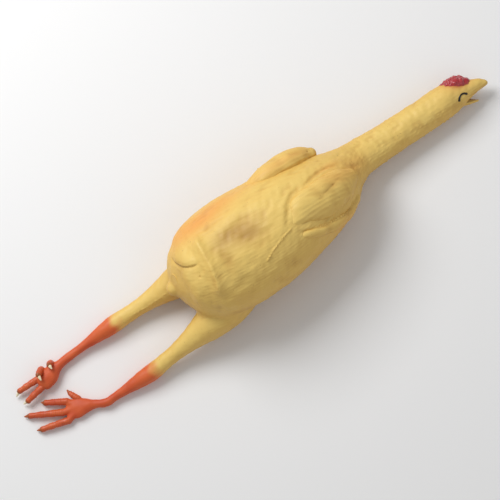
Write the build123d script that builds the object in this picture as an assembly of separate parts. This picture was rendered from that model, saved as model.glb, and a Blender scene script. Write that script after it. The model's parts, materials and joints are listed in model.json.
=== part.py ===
from build123d import *
import os
from math import atan2, cos, degrees, radians, sin, sqrt

# Rubber chicken: a cast latex skin over soft foam, lying on its belly and leaning to its left.
# Millimetres. +X runs from feet to beak, +Y is the bird's left, +Z is up, and z = 0 is the surface it lies on.
# The skin bends everywhere on the real object. Here it is divided at its bending places, and each
# division is a ball end in a socket, so that the pieces turn without cutting into each other.

WALL = 1.6                 # latex thickness
FILL_GAP = 0.3             # between the skin and the foam inside it
FLEX_GAP = 0.4             # between a ball end and its socket
LIP = 0.5                  # least thickness of a socket's edge
HIP_GAP = 0.9              # between a thigh and the skin of the torso round it
WEDGE_EXTRA = 0.7          # more room than either where a limb swings
WEDGE_MARGIN = 64.0        # degrees of room past the swing, for the thickness of the limb
LEAN = 20.0                # degrees that the torso leans to its left
TAPER_SHARE = 0.97         # of a ball's radius, so that a taper's end stays inside the ball

# Torso stations: x, y, z of the centre, half width across, half height. The lowest 2 mm are cut flat.
TORSO = [
    (-77.0, 1.0, 50.0, 17.0, 15.0),
    (-73.0, 0.5, 48.0, 30.0, 27.0),
    (-62.0, 0.0, 46.0, 41.0, 37.0),
    (-42.0, 0.0, 45.5, 49.5, 44.5),
    (-12.0, 0.0, 45.5, 52.5, 47.0),
    (22.0, 0.0, 44.5, 50.0, 45.0),
    (56.0, 2.0, 40.5, 44.0, 40.5),
    (84.0, 5.0, 35.5, 37.0, 35.0),
    (103.0, 9.0, 29.0, 29.0, 28.0),
    (114.0, 11.0, 25.0, 23.5, 23.0),
]

# Neck pivots from the torso to the head, with the neck's radius there and how far it bends each way.
NECK_PIVOTS = [(124.0, 13.5, 21.5), (160.0, 14.8, 17.2), (197.0, 13.2, 16.2), (232.0, 11.0, 15.6)]
NECK_RADII = [19.5, 16.6, 15.5, 14.8]
NECK_SWING = [28.0, 32.0, 32.0, 28.0]
NECK_NAMES = ["neck_lower", "neck_middle", "neck_upper"]

# Head, in its own frame: x forward, y to the bird's left, z out of the crown. It lies over on its left cheek.
HEAD_LEAN = 62.0
HEAD_TURN = -9.5           # degrees that it looks away from +X
HEAD_LINE = [(0.0, 14.8), (8.0, 13.6), (18.0, 8.6), (25.0, 6.8), (35.2, 3.4)]      # forward, radius
COMB_CENTRE = (11.5, 0.0, 9.0)
COMB_SIZE = (13.0, 7.5, 7.0)                                                       # half sizes
JAW_PIVOT = (8.0, 0.0, -9.2)
JAW_TIP = (21.6, 0.0, -13.6)
JAW_RADII = (4.1, 1.9)
JAW_SWING = (-9.0, 16.0)
EYE_CENTRE = (9.0, 0.0, -5.0)                                                      # of the closed lid's arc
EYE_RADIUS = 7.6
EYE_HALF_TURN = 54.0       # degrees from the middle of the arc to its end
EYE_LINE = 1.3             # width of the painted line
EYE_DEPTH = 0.6

# Wings: lens-shaped lobes folded on the upper back.
WING_ANGLE = 46.0          # degrees from the middle of the back
WING_ENDS = [(42.0, 48.0), (108.0, 31.0)]      # x, and reach from the torso's centre line
WING_SIZE = (39.0, 23.0, 15.5)
WING_HINGE_ANGLE = 13.0    # the edge that stays joined to the back
WING_HINGE_REACH = 43.0
WING_SWING = (0.0, 30.0)

# Legs: hip, knee and ankle, then the radius at each station of the limb.
SIDES = {"right": -1, "left": 1}
HIP = {"right": (-62.0, -34.0, 27.5), "left": (-64.0, 13.0, 18.0)}
KNEE = {"right": (-146.0, -38.5, 8.6), "left": (-150.0, 16.5, 8.6)}
ANKLE = {"right": (-203.0, -36.5, 4.6), "left": (-211.0, 15.5, 5.6)}
KNEE_RADIUS = 7.6
ANKLE_RADIUS = 4.3
THIGH_LINE = [(0.0, 16.5), (28.0, 11.8), (54.0, 7.4), (76.0, 7.4)]      # distance from the hip, radius
SHANK_LINE = [(0.0, 7.6), (20.0, 6.0), (38.0, 3.8), (52.0, 4.0)]        # distance from the knee, radius
HIP_SWING = (-6.0, 45.0)
KNEE_SWING = (-35.0, 50.0)
ANKLE_SWING = (-25.0, 35.0)

# Feet: the right one lies open, and its pad runs through stations x, y, z, half width, half thickness.
# The left one is curled, and its pad runs from the ankle through (distance, radius) pairs.
OPEN_PAD = [
    (-208.0, -35.5, 4.6, 4.4, 4.2),
    (-216.0, -32.0, 4.8, 7.6, 4.4),
    (-226.0, -29.5, 4.6, 10.0, 4.2),
    (-233.5, -29.0, 4.2, 8.0, 3.0),
]
CURLED_PAD_END = (-238.0, 10.2, 6.6)
CURLED_PAD_LINE = [(0.0, 4.3), (8.0, 4.8), (16.0, 6.2), (22.0, 6.2), (25.0, 4.6)]

# Toes run root, tip, point of the claw.
TOES = {
    "right": {
        "inner": [(-228.5, -18.5, 4.4), (-245.5, -5.5, 3.6), (-248.5, -2.0, 2.4)],
        "middle": [(-237.0, -25.0, 4.2), (-264.5, -6.5, 3.6), (-269.5, -3.0, 2.4)],
        "outer": [(-236.5, -34.5, 4.2), (-261.5, -25.0, 3.6), (-266.5, -22.0, 2.2)],
        "rear": [(-218.0, -22.5, 4.6), (-221.8, -13.5, 4.4), (-222.5, -9.5, 3.6)],
    },
    "left": {
        "inner": [(-237.5, 6.5, 6.4), (-254.8, 3.8, 6.4), (-259.8, 4.2, 3.2)],
        "middle": [(-238.0, 14.8, 6.4), (-256.5, 13.8, 6.0), (-262.0, 11.6, 3.0)],
        "outer": [(-232.0, 20.0, 9.0), (-236.0, 15.6, 17.0), (-236.3, 10.0, 17.6)],
        "rear": [(-221.0, 20.2, 8.6), (-222.4, 18.0, 16.0), (-222.0, 13.4, 17.2)],
    },
}
TOE_RADII = (3.5, 3.1, 2.2)
REAR_TOE_RADII = (3.2, 2.8, 2.1)
TOE_SWING = (-8.0, 30.0)
CLAW_RADII = (1.5, 0.5)

# The hole that the foam goes in through, closed by a glued plug on the rump.
PLUG_CENTRE = (-75.0, 6.0, 62.0)
PLUG_DIRECTION = (-1.0, 0.1, 0.55)
PLUG_RADIUS = 6.0
PLUG_THICKNESS = 9.0


def sideways(lean):
    """Unit vector to the bird's left, in a frame that leans over to its left."""
    return Vector(0, cos(radians(lean)), -sin(radians(lean)))


def upward(lean):
    """Unit vector out of the bird's back, in a frame that leans over to its left."""
    return Vector(0, sin(radians(lean)), cos(radians(lean)))


def ball(centre, radius):
    return Pos(*centre) * Sphere(radius)


def taper(start, end, start_radius, end_radius):
    """Cone or cylinder from one point to another."""
    run = Vector(*end) - Vector(*start)
    place = Plane(origin=tuple(start), z_dir=tuple(run))
    base = (Align.CENTER, Align.CENTER, Align.MIN)
    if abs(start_radius - end_radius) < 1e-6:
        return place * Cylinder(start_radius, run.length, align=base)
    return place * Cone(start_radius, end_radius, run.length, align=base)


def chain(points, radii, grow=0.0):
    """Balls joined by tapers that run a little inside them. grow moves the whole surface out."""
    radii = [radius + grow for radius in radii]
    solid = ball(points[0], radii[0])
    for start, end, start_radius, end_radius in zip(points, points[1:], radii, radii[1:]):
        solid += taper(start, end, start_radius * TAPER_SHARE, end_radius * TAPER_SHARE)
        solid += ball(end, end_radius)
    return solid


def spindle_face(length, line, grow=0.0, socket=None):
    """Half the section of a round limb through (distance, radius) pairs, with a round end at its start.

    Its far end is round too, or if socket gives (rim, radius), a hollow of that radius about the point
    at that length, with its rim that far short of it.
    """
    rows = [(distance, radius + grow) for distance, radius in line]
    if socket is not None:
        hollow, lip = socket[1] - grow, rows[-1][1] - LIP
        back = max(socket[0] - grow, sqrt(hollow ** 2 - lip ** 2))
        rows = [row for row in rows if row[0] < length - socket[0] - 5] + [(length - back, rows[-1][1])]
    first = rows[0][1]
    reach, last = rows[-1]
    edges = [CenterArc((0, 0), first, 90, 90), Spline(rows, tangents=[(1, 0), (1, 0)])]
    if socket is None:
        edges += [CenterArc((reach, 0), last, 0, 90), Line((reach + last, 0), (-first, 0))]
    else:
        lip = sqrt(hollow ** 2 - back ** 2)
        turn = degrees(atan2(lip, back))
        edges += [
            Line((reach, last), (reach, lip)),
            CenterArc((length, 0), hollow, 180 - turn, turn),
            Line((length - hollow, 0), (-first, 0)),
        ]
    return make_face(edges)


def turned(start, end, face):
    """Solid of revolution of a half section, from start towards end."""
    run = Vector(*end) - Vector(*start)
    across = Vector(0, 0, 1) - run * (run.Z / run.length ** 2)
    return Plane(origin=tuple(start), x_dir=tuple(run), z_dir=tuple(across)) * revolve(face, axis=Axis.X)


def spindle(start, end, line, grow=0.0, socket=None):
    """Solid round limb from start to end."""
    length = (Vector(*end) - Vector(*start)).length
    return turned(start, end, spindle_face(length, line, grow, socket))


def spindle_shell_and_core(start, end, line, socket):
    """The skin of a round limb, and the foam inside it."""
    length = (Vector(*end) - Vector(*start)).length
    outer, inner, core = (spindle_face(length, line, grow, socket) for grow in (0, -WALL, -WALL - FILL_GAP))
    return turned(start, end, outer - inner), turned(start, end, core)


def along(start, end, share):
    """The point at that share of the way from start to end."""
    return Vector(*start) + (Vector(*end) - Vector(*start)) * share


def lofted(stations, across, forward, grow=0.0):
    """Solid through elliptical stations (x, y, z, half width, half height), its ends moved with its sides."""
    faces = []
    last = len(stations) - 1
    for index, (x, y, z, half_width, half_height) in enumerate(stations):
        shift = {0: -grow, last: grow}.get(index, 0.0)
        centre = Vector(x, y, z) + Vector(*forward).normalized() * shift
        place = Plane(origin=tuple(centre), x_dir=tuple(across), z_dir=tuple(forward))
        faces.append(place * Ellipse(half_width + grow, half_height + grow))
    return loft(faces)


def swing_room(pivot, tip, axis, rows, swing):
    """Room for a limb that swings about its pivot: a ball, and the wedge that the limb sweeps.

    rows are the limb's (distance, radius) pairs from pivot towards tip, with the gap already in them.
    """
    upper = [(distance, radius + WEDGE_EXTRA) for distance, radius in rows]
    lower = [(distance, -radius) for distance, radius in reversed(upper)]
    edges = [
        Spline(upper, tangents=[(1, 0), (1, 0)]),
        Line(upper[-1], lower[0]),
        Spline(lower, tangents=[(-1, 0), (-1, 0)]),
        Line(lower[-1], upper[0]),
    ]
    spread = max(swing) - min(swing) + 2 * WEDGE_MARGIN
    wedge = revolve(make_face(edges), axis=Axis.Y, revolution_arc=spread)
    across = (Vector(*tip) - Vector(*pivot)).cross(Vector(*axis))
    place = Plane(origin=tuple(pivot), x_dir=tuple(Vector(*axis).cross(across)), z_dir=tuple(across))
    return [ball(pivot, upper[0][1]), place * Rot(0, min(swing) - WEDGE_MARGIN, 0) * wedge]


def largest(shape):
    """The biggest solid of a shape, without the crumbs a cut can leave."""
    return shape.solids().sort_by(SortBy.VOLUME)[-1]


def shell_and_core(solid_at):
    """The skin and the foam inside it, from a function that gives the solid grown by an amount."""
    skin = solid_at(0.0) - solid_at(-WALL)
    core = solid_at(-WALL - FILL_GAP)
    return largest(skin), largest(core)


# ---------------------------------------------------------------------------------------------- joints

def torso_centre(x):
    """Centre of the torso at x, between its stations."""
    for before, after in zip(TORSO, TORSO[1:]):
        if before[0] <= x <= after[0]:
            return along(before[:3], after[:3], (x - before[0]) / (after[0] - before[0]))
    raise ValueError(x)


def wing_point(side, x, angle, reach):
    """A point beside the torso, at an angle from the middle of the back towards that side."""
    out = sideways(LEAN) * (SIDES[side] * sin(radians(angle))) + upward(LEAN) * cos(radians(angle))
    return torso_centre(x) + out * reach


def wing_place(side):
    """The wing's own frame: x along it and z out of its back."""
    tail, shoulder = (wing_point(side, x, WING_ANGLE, reach) for x, reach in WING_ENDS)
    middle = (tail + shoulder) / 2
    return Plane(origin=tuple(middle), x_dir=tuple(shoulder - tail), z_dir=tuple(middle - torso_centre(middle.X)))


def head_place():
    """The head's own frame."""
    turn = radians(HEAD_TURN)
    out = upward(HEAD_LEAN).rotate(Axis.Z, HEAD_TURN)
    return Plane(origin=NECK_PIVOTS[-1], x_dir=(cos(turn), sin(turn), 0), z_dir=tuple(out))


def toe_axis(points):
    """Level axis across a toe, about which it lifts away from the pad."""
    run = Vector(*points[1]) - Vector(*points[0])
    return Vector(run.Y, -run.X, 0).normalized()


def joint_table():
    """Every bending place: name, parent, child, pivot, axis and range."""
    across, up = Vector(0, -1, 0), Vector(0, 0, 1)
    table = []
    parents = ["torso"] + NECK_NAMES
    children = NECK_NAMES + ["head"]
    head = head_place()
    axes = [across, up, across, head.y_dir * -1]
    for parent, child, pivot, axis, swing in zip(parents, children, NECK_PIVOTS, axes, NECK_SWING):
        table.append((child + "_bend", parent, child, pivot, axis, (-swing, swing)))
    table.append(("beak_open", "head", "lower_beak", head.from_local_coords(JAW_PIVOT), head.y_dir, JAW_SWING))
    for side, sign in SIDES.items():
        hinge = wing_point(side, wing_place(side).origin.X, WING_HINGE_ANGLE, WING_HINGE_REACH)
        table.append((side + "_wing_flap", "torso", side + "_wing", hinge, Vector(sign, 0, 0), WING_SWING))
        thigh, shank, foot = (side + "_" + name for name in ("thigh", "shank", "foot"))
        table.append((side + "_hip_swing", "torso", thigh, HIP[side], across, HIP_SWING))
        table.append((side + "_knee_bend", thigh, shank, KNEE[side], across, KNEE_SWING))
        table.append((side + "_ankle_bend", shank, foot, ANKLE[side], across, ANKLE_SWING))
        for toe, points in TOES[side].items():
            name = side + "_" + toe + "_toe"
            table.append((name + "_curl", foot, name, points[0], toe_axis(points), TOE_SWING))
    return table


# --------------------------------------------------------------------------------------------- sub-parts

def torso_solid(grow):
    """The torso, cut flat where it rests, with sockets for the neck and thighs."""
    solid = lofted(TORSO, sideways(LEAN), (1, 0, 0), grow)
    length, width, height = 300.0, 200.0, 200.0
    solid &= Pos(0, 0, -grow) * Box(length, width, height, align=(Align.CENTER, Align.CENTER, Align.MIN))
    solid -= ball(NECK_PIVOTS[0], NECK_RADII[0] + FLEX_GAP - grow)
    rows = [(distance, radius + HIP_GAP - grow) for distance, radius in THIGH_LINE]
    for side in SIDES:
        for room in swing_room(HIP[side], KNEE[side], (0, -1, 0), rows, HIP_SWING):
            solid -= room
    return solid


def make_plug():
    """Plug through the skin of the rump, between the foam and the outside."""
    place = Plane(origin=PLUG_CENTRE, z_dir=PLUG_DIRECTION)
    return place * Cylinder(PLUG_RADIUS, PLUG_THICKNESS)


def make_torso():
    skin, core = shell_and_core(torso_solid)
    plug = make_plug() & skin
    return {"torso_skin": skin - make_plug(), "torso_foam": core, "rump_plug": plug}


def make_neck():
    """Lengths of neck: each has a ball end, a taper and the socket for the next length."""
    parts = {}
    for index, name in enumerate(NECK_NAMES):
        radius, next_radius = NECK_RADII[index:index + 2]
        socket = (next_radius * sin(radians(NECK_SWING[index + 1])), next_radius + FLEX_GAP)
        line = [(0, radius), (10, radius), (25, next_radius)]
        skin, foam = spindle_shell_and_core(*NECK_PIVOTS[index:index + 2], line, socket)
        parts[name + "_skin"] = skin
        parts[name + "_foam"] = foam
    return parts


def skull(line, grow=0.0):
    """Round solid along the head's middle line, in the head's frame."""
    return spindle((0, 0, 0), (1, 0, 0), line, grow)


def jaw_solid(grow=0.0):
    """Lower half of the beak, from its pivot in the cheek to its tip, in the head's frame."""
    return chain([JAW_PIVOT, JAW_TIP], JAW_RADII, grow)


def eye_band(sign):
    """Band across one cheek in the shape of the closed lid's line: an arc, open towards the chin."""
    cheek = Plane(origin=EYE_CENTRE, x_dir=(1, 0, 0), z_dir=(0, sign, 0))
    arc = CenterArc((0, 0), EYE_RADIUS, 90 * -sign - EYE_HALF_TURN, 2 * EYE_HALF_TURN)
    return cheek * extrude(trace(arc, EYE_LINE), 30)


def make_head():
    outer = skull(HEAD_LINE)
    length = (Vector(*JAW_TIP) - Vector(*JAW_PIVOT)).length
    rows = [(0, JAW_RADII[0] + FLEX_GAP), (length + 4, JAW_RADII[1] + FLEX_GAP)]
    core = skull(HEAD_LINE[:3], -WALL - FILL_GAP) - ball(JAW_PIVOT, JAW_RADII[0] + FLEX_GAP + WALL + FILL_GAP)
    for room in swing_room(JAW_PIVOT, JAW_TIP, (0, 1, 0), rows, JAW_SWING):
        outer -= room
        core -= room
    room = ball(JAW_PIVOT, JAW_RADII[0] + FLEX_GAP + WALL)
    skin = outer - (skull(HEAD_LINE[:3], -WALL) - room)
    parts = {
        "head_foam": largest(core),
        "lower_beak": jaw_solid(),
        "comb": largest(Pos(*COMB_CENTRE) * scale(Sphere(1.0), by=COMB_SIZE) - outer),
    }
    for side, sign in SIDES.items():
        eye = (outer - skull(HEAD_LINE, -EYE_DEPTH)) & eye_band(sign)
        parts[side + "_eyelid"] = eye
        skin -= eye
    parts["head_skin"] = skin
    return {name: head_place() * part for name, part in parts.items()}


def wing_solid(side, grow):
    """A folded wing: a lens-shaped lobe lying on the torso."""
    lobe = wing_place(side) * scale(Sphere(1.0), by=tuple(size + grow for size in WING_SIZE))
    return lobe - lofted(TORSO, sideways(LEAN), (1, 0, 0), FLEX_GAP - grow)


def make_wing(side):
    skin, core = shell_and_core(lambda grow: wing_solid(side, grow))
    return {side + "_wing_skin": skin, side + "_wing_foam": core}


def shank_solid(side):
    rim = ANKLE_RADIUS * sin(radians(max(ANKLE_SWING)))
    return spindle(KNEE[side], ANKLE[side], SHANK_LINE, socket=(rim, ANKLE_RADIUS + FLEX_GAP))


def toe_radii(toe):
    return REAR_TOE_RADII if toe == "rear" else TOE_RADII


def toe_solid(toe, points):
    root, tip = points[:2]
    length = (Vector(*tip) - Vector(*root)).length
    return spindle(root, tip, list(zip((0, length / 2, length), toe_radii(toe))))


def open_pad():
    """Flat pad of the foot that lies open, with the ball end at its ankle."""
    run = Vector(*OPEN_PAD[-1][:3]) - Vector(*OPEN_PAD[0][:3])
    pad = lofted(OPEN_PAD, Vector(-run.Y, run.X, 0), run)
    return pad + chain([ANKLE["right"], OPEN_PAD[1][:3]], (ANKLE_RADIUS, ANKLE_RADIUS - 0.2))


def foot_solid(side):
    """Foot pad with a socket for each toe."""
    solid = open_pad() if side == "right" else spindle(ANKLE[side], CURLED_PAD_END, CURLED_PAD_LINE)
    for toe, (root, tip, _) in TOES[side].items():
        rows = [(0, toe_radii(toe)[0] + FLEX_GAP), (12, toe_radii(toe)[1] + FLEX_GAP)]
        for room in swing_room(root, tip, toe_axis((root, tip)), rows, TOE_SWING):
            solid -= room
    return largest(solid)


def make_leg(side):
    socket = (KNEE_RADIUS * sin(radians(max(KNEE_SWING))), KNEE_RADIUS + FLEX_GAP)
    skin, core = spindle_shell_and_core(HIP[side], KNEE[side], THIGH_LINE, socket)
    parts = {
        side + "_thigh_skin": skin,
        side + "_thigh_foam": core,
        side + "_shank": shank_solid(side),
        side + "_foot_pad": foot_solid(side),
    }
    for toe, points in TOES[side].items():
        name = side + "_" + toe
        parts[name + "_claw"] = taper(points[1], points[2], *CLAW_RADII)
        parts[name + "_toe"] = toe_solid(toe, points) - parts[name + "_claw"]
    return parts


def build_parts():
    """Every sub-part by name, in the frame that the sizes above are written in."""
    parts = {**make_torso(), **make_neck(), **make_head()}
    for side in SIDES:
        parts.update(make_wing(side))
        parts.update(make_leg(side))
    return parts


def footprint_centre(parts):
    """The point on the floor under the middle of the whole object, which becomes the origin."""
    corners = [corner for part in parts.values() for corner in part.tessellate(0.02, 0.2)[0]]
    xs = [corner.X for corner in corners]
    ys = [corner.Y for corner in corners]
    return Vector((min(xs) + max(xs)) / 2, (min(ys) + max(ys)) / 2, 0)


def main():
    os.makedirs("parts", exist_ok=True)
    parts = build_parts()
    origin = footprint_centre(parts)
    for name, part in parts.items():
        export_step(Pos(*(origin * -1)) * part, "parts/" + name + ".step")
    print("origin", origin, "nodes", len(parts))


if __name__ == "__main__":
    main()
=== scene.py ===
import json
import math

import bpy
import numpy as np
from mathutils import Matrix, Vector
from mathutils.bvhtree import BVHTree


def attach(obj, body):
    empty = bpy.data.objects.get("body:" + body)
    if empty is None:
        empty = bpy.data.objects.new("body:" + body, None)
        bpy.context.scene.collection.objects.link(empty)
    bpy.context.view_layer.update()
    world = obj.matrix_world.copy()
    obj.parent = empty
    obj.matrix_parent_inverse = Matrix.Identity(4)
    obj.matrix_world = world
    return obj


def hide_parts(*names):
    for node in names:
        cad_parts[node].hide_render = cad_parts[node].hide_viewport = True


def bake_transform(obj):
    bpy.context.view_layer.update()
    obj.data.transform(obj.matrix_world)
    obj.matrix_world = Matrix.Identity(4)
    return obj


# Rubber chicken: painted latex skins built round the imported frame.
# Shapes are worked out in millimetres in the design's own frame: +X runs from feet to beak, +Y is the
# bird's left, +Z is up, z = 0 is the surface it lies on. metres() turns them into the row frame.

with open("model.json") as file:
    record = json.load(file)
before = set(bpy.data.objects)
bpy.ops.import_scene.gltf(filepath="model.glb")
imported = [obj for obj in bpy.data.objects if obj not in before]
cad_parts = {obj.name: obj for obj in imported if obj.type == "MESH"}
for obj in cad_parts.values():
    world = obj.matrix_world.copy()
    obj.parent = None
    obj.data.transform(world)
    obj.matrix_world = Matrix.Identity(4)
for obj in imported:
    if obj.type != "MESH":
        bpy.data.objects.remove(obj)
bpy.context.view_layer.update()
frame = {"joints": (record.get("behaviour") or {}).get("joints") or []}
joints = {joint["name"]: joint for joint in frame["joints"]}

NECK_PIVOT = np.array((124.0, 13.5, 21.5))       # of neck_lower_bend, in the design's frame
ORIGIN = NECK_PIVOT - 1000 * np.array(joints["neck_lower_bend"]["pos_m"])
SIDES = {"right": -1, "left": 1}
LEAN = 20.0                                      # degrees that the torso leans to its left
BODY_VOXEL = 0.8
WING_VOXEL = 0.75
RING = 48                                        # points round a tube

# Stations of each tube: x, y, z, half width, half height, lean.
TRUNK = [
    (-83.0, 3.0, 49.0, 8.0, 8.0, LEAN), (-80.0, 2.8, 48.5, 17.5, 17.0, LEAN),
    (-74.0, 2.4, 47.5, 28.8, 27.5, LEAN), (-64.0, 1.2, 46.5, 40.5, 37.5, LEAN),
    (-51.0, 0.0, 45.5, 48.5, 43.5, LEAN), (-36.0, -0.8, 45.5, 52.3, 45.5, LEAN),
    (-12.0, -1.4, 45.5, 54.4, 46.8, LEAN), (22.0, -1.7, 44.5, 51.7, 45.0, LEAN),
    (50.0, -0.5, 41.5, 46.5, 41.0, LEAN), (75.0, 1.3, 37.0, 40.5, 36.0, LEAN),
    (96.0, 5.0, 31.0, 32.0, 29.5, LEAN), (112.0, 8.8, 25.5, 23.2, 22.5, LEAN),
    (126.0, 11.3, 20.6, 18.9, 18.2, LEAN), (149.0, 11.6, 17.8, 17.1, 16.4, LEAN),
    (176.0, 11.1, 16.5, 16.2, 15.4, LEAN), (205.0, 10.6, 15.9, 15.9, 15.2, LEAN),
    (224.0, 10.4, 15.7, 15.7, 15.1, LEAN),
]
NECK_CUTS = [105.0, 142.0, 178.5, 214.5]         # x where one length of skin meets the next
NECK_BENDS = [(112.0, 137.0), (148.0, 172.0), (185.0, 209.0), (221.0, 238.0)]
NECK_BODIES = ["torso", "neck_lower", "neck_middle", "neck_upper", "head"]

# The head's own frame: x forward, y to the bird's left, z out of the crown.
HEAD_PIVOT = np.array((232.0, 11.0, 15.6))
HEAD_LEAN = 62.0
HEAD_TURN = -9.5
HEAD = [(4.0, 0.0, 14.7), (9.0, 0.0, 13.3), (14.0, 0.0, 10.9), (19.0, 0.0, 8.8), (25.0, -0.2, 7.1),
        (31.5, -0.9, 5.3), (37.0, -2.2, 2.9)]    # x, z, radius
HEAD_NARROW = 0.93                               # of its height, across the cheeks
JAW = [(4.0, -8.4, 5.0, 3.6), (12.0, -10.6, 4.8, 3.2), (19.0, -12.6, 3.4, 2.2), (23.5, -14.0, 2.0, 1.3)]
COMB = [(-2.0, 10.8, 5.2, 4.2), (5.0, 11.2, 8.4, 5.8), (12.5, 10.2, 8.8, 6.4), (20.0, 6.8, 6.0, 4.4)]
COMB_MIDDLE = (10.0, 0.0, 10.0)
EYE = [(6.4, -3.4), (7.6, -1.0), (10.0, 0.6), (12.8, 0.6), (15.4, -1.2)]
EYE_MIDDLE = (10.8, -3.4)

# Legs: hip, knee and ankle, then stations of the limb and of the pad of the foot.
HIP = {"right": (-62.0, -34.0, 27.5), "left": (-64.0, 13.0, 18.0)}
LEG_SHIFT = {"right": -4.2, "left": 0.2}         # y of the flesh off the line of the joints
LEG_GIRTH = {"right": 1.08, "left": 1.1}
KNEE = {"right": (-146.0, -38.5, 8.6), "left": (-150.0, 16.5, 8.6)}
ANKLE = {"right": (-203.0, -36.5, 4.6), "left": (-211.0, 15.5, 5.6)}
THIGH = [(-34.0, 13.0), (-14.0, 16.6), (0.0, 16.5), (14.0, 14.8), (28.0, 11.8), (42.0, 9.0), (56.0, 7.3),
         (74.0, 7.2), (84.0, 7.7)]               # distance past the hip, radius
SHANK = [(8.0, 7.3), (20.0, 5.9), (31.0, 4.5), (40.0, 3.8), (52.0, 3.9)]      # distance past the knee
PADS = {
    "right": [(-208.0, -35.5, 4.6, 4.4, 4.0, 0.0), (-216.0, -32.0, 4.7, 7.6, 4.2, 0.0),
              (-225.0, -29.0, 4.5, 10.0, 4.0, 0.0), (-231.0, -28.0, 4.0, 8.2, 3.0, 0.0)],
    "left": [(-219.0, 14.0, 6.0, 5.4, 4.9, 0.0), (-227.0, 11.5, 6.4, 8.6, 6.2, 0.0),
             (-236.0, 9.4, 6.5, 9.0, 6.2, 0.0)],
}
PALM = {"right": (-222.0, -30.0, 4.4), "left": (-230.0, 12.0, 7.0)}
THIGH_CUT = -112.0                               # x where the thigh's skin meets the shank's
SHANK_CUT = -180.0
RUMP_END = -88.0                                 # skin beyond it belongs to the thighs
LEG_SPLIT = -11.0                                # y between the legs

# Toes: root, tip, point of the claw.
TOES = {
    "right": {
        "inner": [(-228.5, -18.5, 4.4), (-246.5, -7.5, 3.8), (-249.5, -5.0, 2.6)],
        "middle": [(-237.0, -25.0, 4.2), (-265.5, -9.5, 3.8), (-270.0, -7.0, 2.6)],
        "outer": [(-236.5, -34.5, 4.2), (-262.5, -27.0, 3.8), (-267.0, -25.0, 2.4)],
        "rear": [(-218.0, -22.5, 4.6), (-221.8, -13.5, 4.4), (-222.5, -9.5, 3.6)],
    },
    "left": {
        "inner": [(-237.5, 6.5, 6.4), (-258.8, 2.8, 6.4), (-264.0, 3.4, 3.2)],
        "middle": [(-238.0, 14.8, 6.4), (-260.5, 15.4, 6.0), (-266.0, 13.6, 3.0)],
        "outer": [(-232.0, 20.0, 9.0), (-236.0, 15.6, 17.0), (-236.3, 10.0, 17.6)],
        "rear": [(-221.0, 20.2, 8.6), (-222.4, 18.0, 16.0), (-222.0, 13.4, 17.2)],
    },
}
TOE_RADII = (3.6, 3.3, 2.7)
REAR_TOE_RADII = (3.3, 3.0, 2.4)

# Wings: stations of each lobe as x, degrees from the middle of the back, depth of its middle under
# the torso's surface, half width, half thickness.
WING_LOBES = {
    "right": [
        [(43.0, 44.0, 4.0, 7.0, 6.0), (54.0, 38.0, 3.0, 14.5, 8.4), (70.0, 41.0, 1.8, 18.0, 10.0),
         (88.0, 45.0, 0.4, 18.0, 10.8), (102.0, 48.0, -1.6, 15.0, 10.2), (111.0, 50.0, -3.4, 8.5, 7.0)],
        [(43.0, 62.0, 1.4, 3.6, 3.6), (56.0, 70.0, 0.6, 6.2, 5.4), (72.0, 80.0, 0.4, 7.4, 6.4),
         (90.0, 88.0, -1.4, 8.2, 7.0), (103.0, 88.0, -2.6, 6.2, 6.0)],
    ],
    "left": [
        [(28.0, 52.0, 4.0, 7.0, 5.0), (40.0, 50.0, 2.4, 13.0, 8.6), (56.0, 52.0, 0.8, 16.0, 11.0),
         (74.0, 54.0, -0.6, 15.5, 11.5), (86.0, 54.0, -1.0, 12.0, 9.6), (93.0, 52.0, -1.2, 7.5, 6.5)],
        [(34.0, 76.0, 2.4, 4.0, 3.6), (50.0, 80.0, 1.8, 7.0, 5.4), (68.0, 84.0, 1.4, 8.4, 6.0),
         (84.0, 84.0, 0.4, 7.0, 5.4)],
    ],
}
PLUG_CENTRE = np.array((-75.0, 6.0, 62.0))
PLUG_DIRECTION = (-1.0, 0.1, 0.55)

# Paint, as sRGB.
YELLOW = "#e7c066"
# Painted light, for faces turned up.
PAINTED_LIGHT = "#f2d37a"
# Painted shade, for faces turned down.
PAINTED_SHADE = "#bf883a"
BLUSH = "#efa653"
ORANGE = "#de6a38"
RED_ORANGE = "#c84a2b"
# Painted shade in hollows and creases, and painted shadow under the rump.
SHADE_BROWN = "#a87b35"
CRIMSON = "#b3242f"
CREAM = "#f1e6c4"
BROWN = "#8a5426"


# ------------------------------------------------------------------------------------------- arithmetic

def metres(points):
    """Points of the design's frame, in the row frame."""
    return (np.asarray(points, float) - ORIGIN) / 1000


def unit(vectors):
    vectors = np.asarray(vectors, float)
    return vectors / np.maximum(np.linalg.norm(vectors, axis=-1, keepdims=True), 1e-12)


def ease(value):
    """0 below 0, 1 above 1, smooth between."""
    value = np.clip(value, 0, 1)
    return value * value * (3 - 2 * value)


def linear(colour):
    """Linear RGB of an sRGB hex colour."""
    srgb = np.array([int(colour[start:start + 2], 16) for start in (1, 3, 5)]) / 255
    return np.where(srgb > 0.04045, ((srgb + 0.055) / 1.055) ** 2.4, srgb / 12.92)


def ripple(points, size, seed):
    """Smooth noise between about -1 and 1 whose bumps are size millimetres across."""
    random = np.random.default_rng(seed)
    total = np.zeros(len(points))
    for _ in range(7):
        direction = unit(random.normal(size=3)) * (2 * math.pi / size) * random.uniform(0.6, 1.5)
        total += np.sin(points @ direction + random.uniform(0, 2 * math.pi))
    return total / 3.2


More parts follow.
